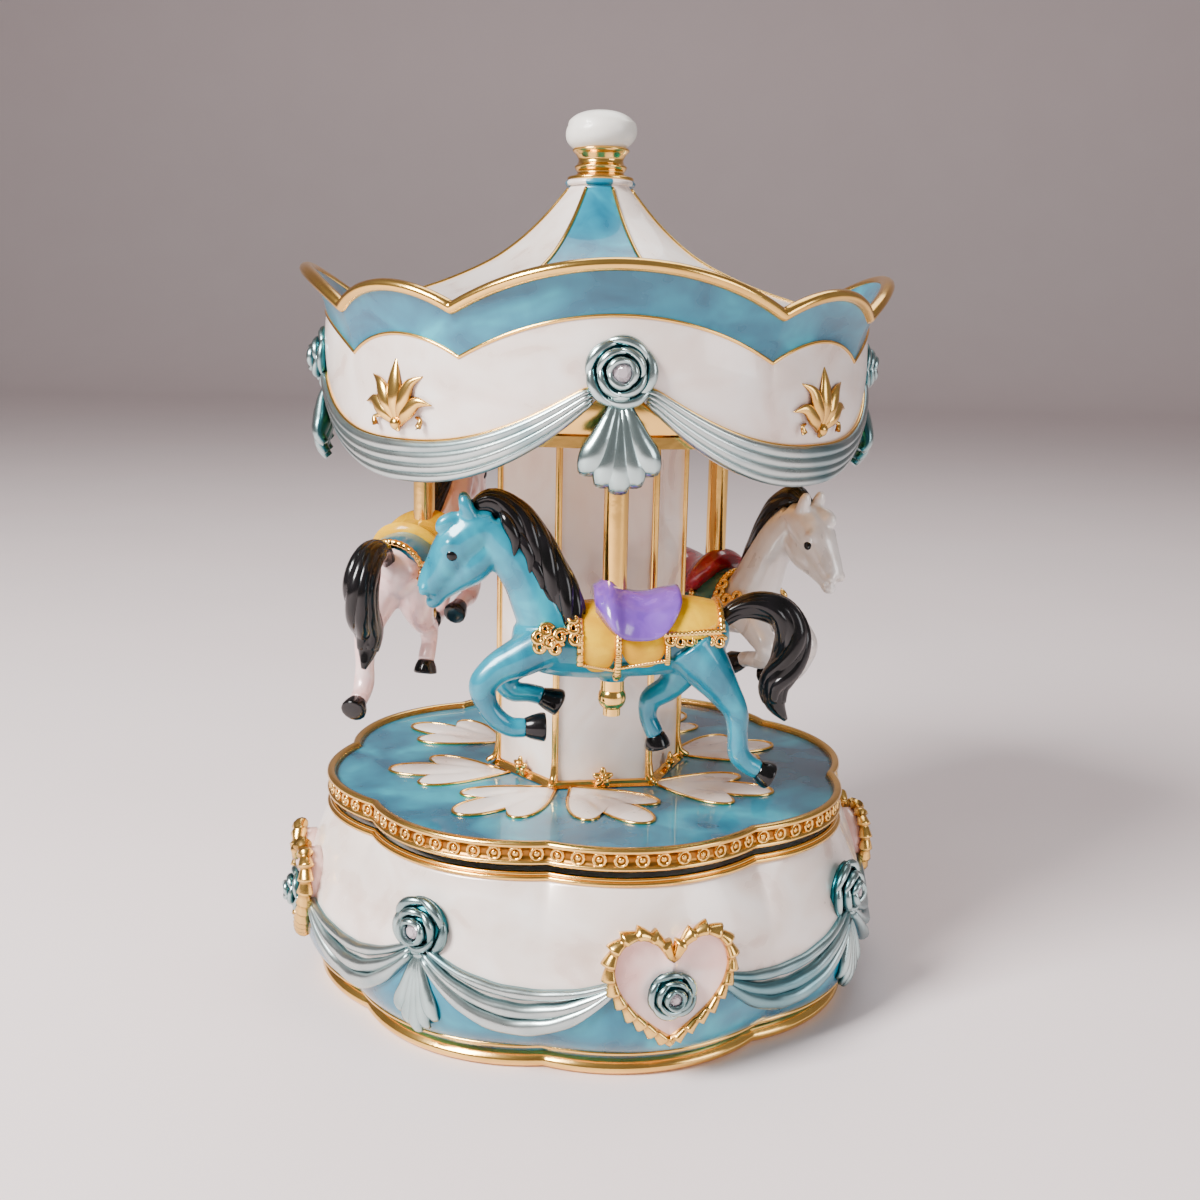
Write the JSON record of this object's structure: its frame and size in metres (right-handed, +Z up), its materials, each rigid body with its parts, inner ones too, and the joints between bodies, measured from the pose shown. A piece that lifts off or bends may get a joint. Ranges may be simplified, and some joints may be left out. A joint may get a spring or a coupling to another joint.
{
  "type": "carousel music box",
  "caption": "Enamelled metal carousel music box: a lobed base with a wind-up comb movement turns a platform, column, scalloped canopy and galloping horses hung on poles.",
  "frame": {"origin": "centre of the foot ring, on the table", "axes": "+Z up, the turntable's axis; -Y is the front, through the middle of a heart on the base"},
  "size_m": [0.1038, 0.1038, 0.14],
  "materials": {
    "cream_enamel": "pearl gloss enamel",
    "turquoise_enamel": "pearl gloss enamel",
    "gold": "polished gold plate",
    "silver_teal": "antiqued silver plate",
    "pink_pearl": "pearl enamel",
    "white_satin": "satin enamel",
    "horse_turquoise": "pearl gloss enamel",
    "horse_white": "pearl gloss enamel",
    "horse_pink": "pearl gloss enamel",
    "crystal": "cut crystal",
    "steel": "satin",
    "brass": "satin brass",
    "black_cover": "satin"
  },
  "bodies": {
    "base": {"base_shell": "cream_enamel", "base_rim": "gold", "base_foot": "gold", "heart_frames": "gold", "heart_plates": "pink_pearl", "heart_roses": "silver_teal", "heart_crystals": "crystal", "base_roses": "silver_teal", "base_crystals": "crystal", "base_ribbons": "silver_teal", "base_swags": "silver_teal", "bottom_cover": "black_cover", "cover_screws": "steel", "bedplate": "steel", "movement_screws": "steel", "comb": "steel", "comb_screws": "steel", "governor_frame": "brass", "output_bush": "brass", "thrust_washer": "brass"},
    "turntable": {"spring_barrel": "brass", "mainspring": "steel", "output_shaft": "steel", "platform_plate": "turquoise_enamel", "platform_rim": "gold", "platform_petals": "cream_enamel", "column": "cream_enamel", "column_wires": "gold", "column_foot": "gold", "tie_rod": "steel", "tie_rod_nut": "steel", "canopy_ceiling": "gold", "canopy_skirt": "cream_enamel", "canopy_roof": "turquoise_enamel", "canopy_swags": "silver_teal", "canopy_lilies": "gold", "canopy_roses": "silver_teal", "canopy_crystals": "crystal", "canopy_tassels": "silver_teal", "finial_neck": "gold", "finial_ball": "white_satin", "pole_nuts": "gold", "pole_front": "gold", "pole_right": "gold", "pole_left": "gold", "horse_front": "horse_turquoise", "horse_right": "horse_white", "horse_left": "horse_pink"},
    "key": {"winding_arbor": "steel", "winding_key": "brass"},
    "cylinder": {"pin_cylinder": "brass", "cylinder_shaft": "brass"},
    "governor": {"governor_wheel": "brass"},
    "fly": {"governor_fly": "steel"}
  },
  "joints": [
    {"name": "turntable_spin", "type": "hinge", "parent": "base", "child": "turntable", "pos_m": [0, 0, 0.0286], "axis": [0, 0, 1], "continuous": true},
    {"name": "key_wind", "type": "hinge", "parent": "base", "child": "key", "pos_m": [0, 0, 0.005], "axis": [0, 0, 1], "continuous": true},
    {"name": "cylinder_spin", "type": "hinge", "parent": "base", "child": "cylinder", "pos_m": [0.014, 0, 0.0164], "axis": [1, 0, 0], "continuous": true},
    {"name": "governor_spin", "type": "hinge", "parent": "base", "child": "governor", "pos_m": [0.0337, 0.00805, 0.0164], "axis": [1, 0, 0], "continuous": true},
    {"name": "fly_spin", "type": "hinge", "parent": "base", "child": "fly", "pos_m": [0.0319, 0.01455, 0.0164], "axis": [0, 0, 1], "continuous": true}
  ],
  "couplings": [
    {"joint": "cylinder_spin", "follows": "turntable_spin", "ratio": 4},
    {"joint": "governor_spin", "follows": "turntable_spin", "ratio": -12},
    {"joint": "fly_spin", "follows": "turntable_spin", "ratio": -300}
  ]
}
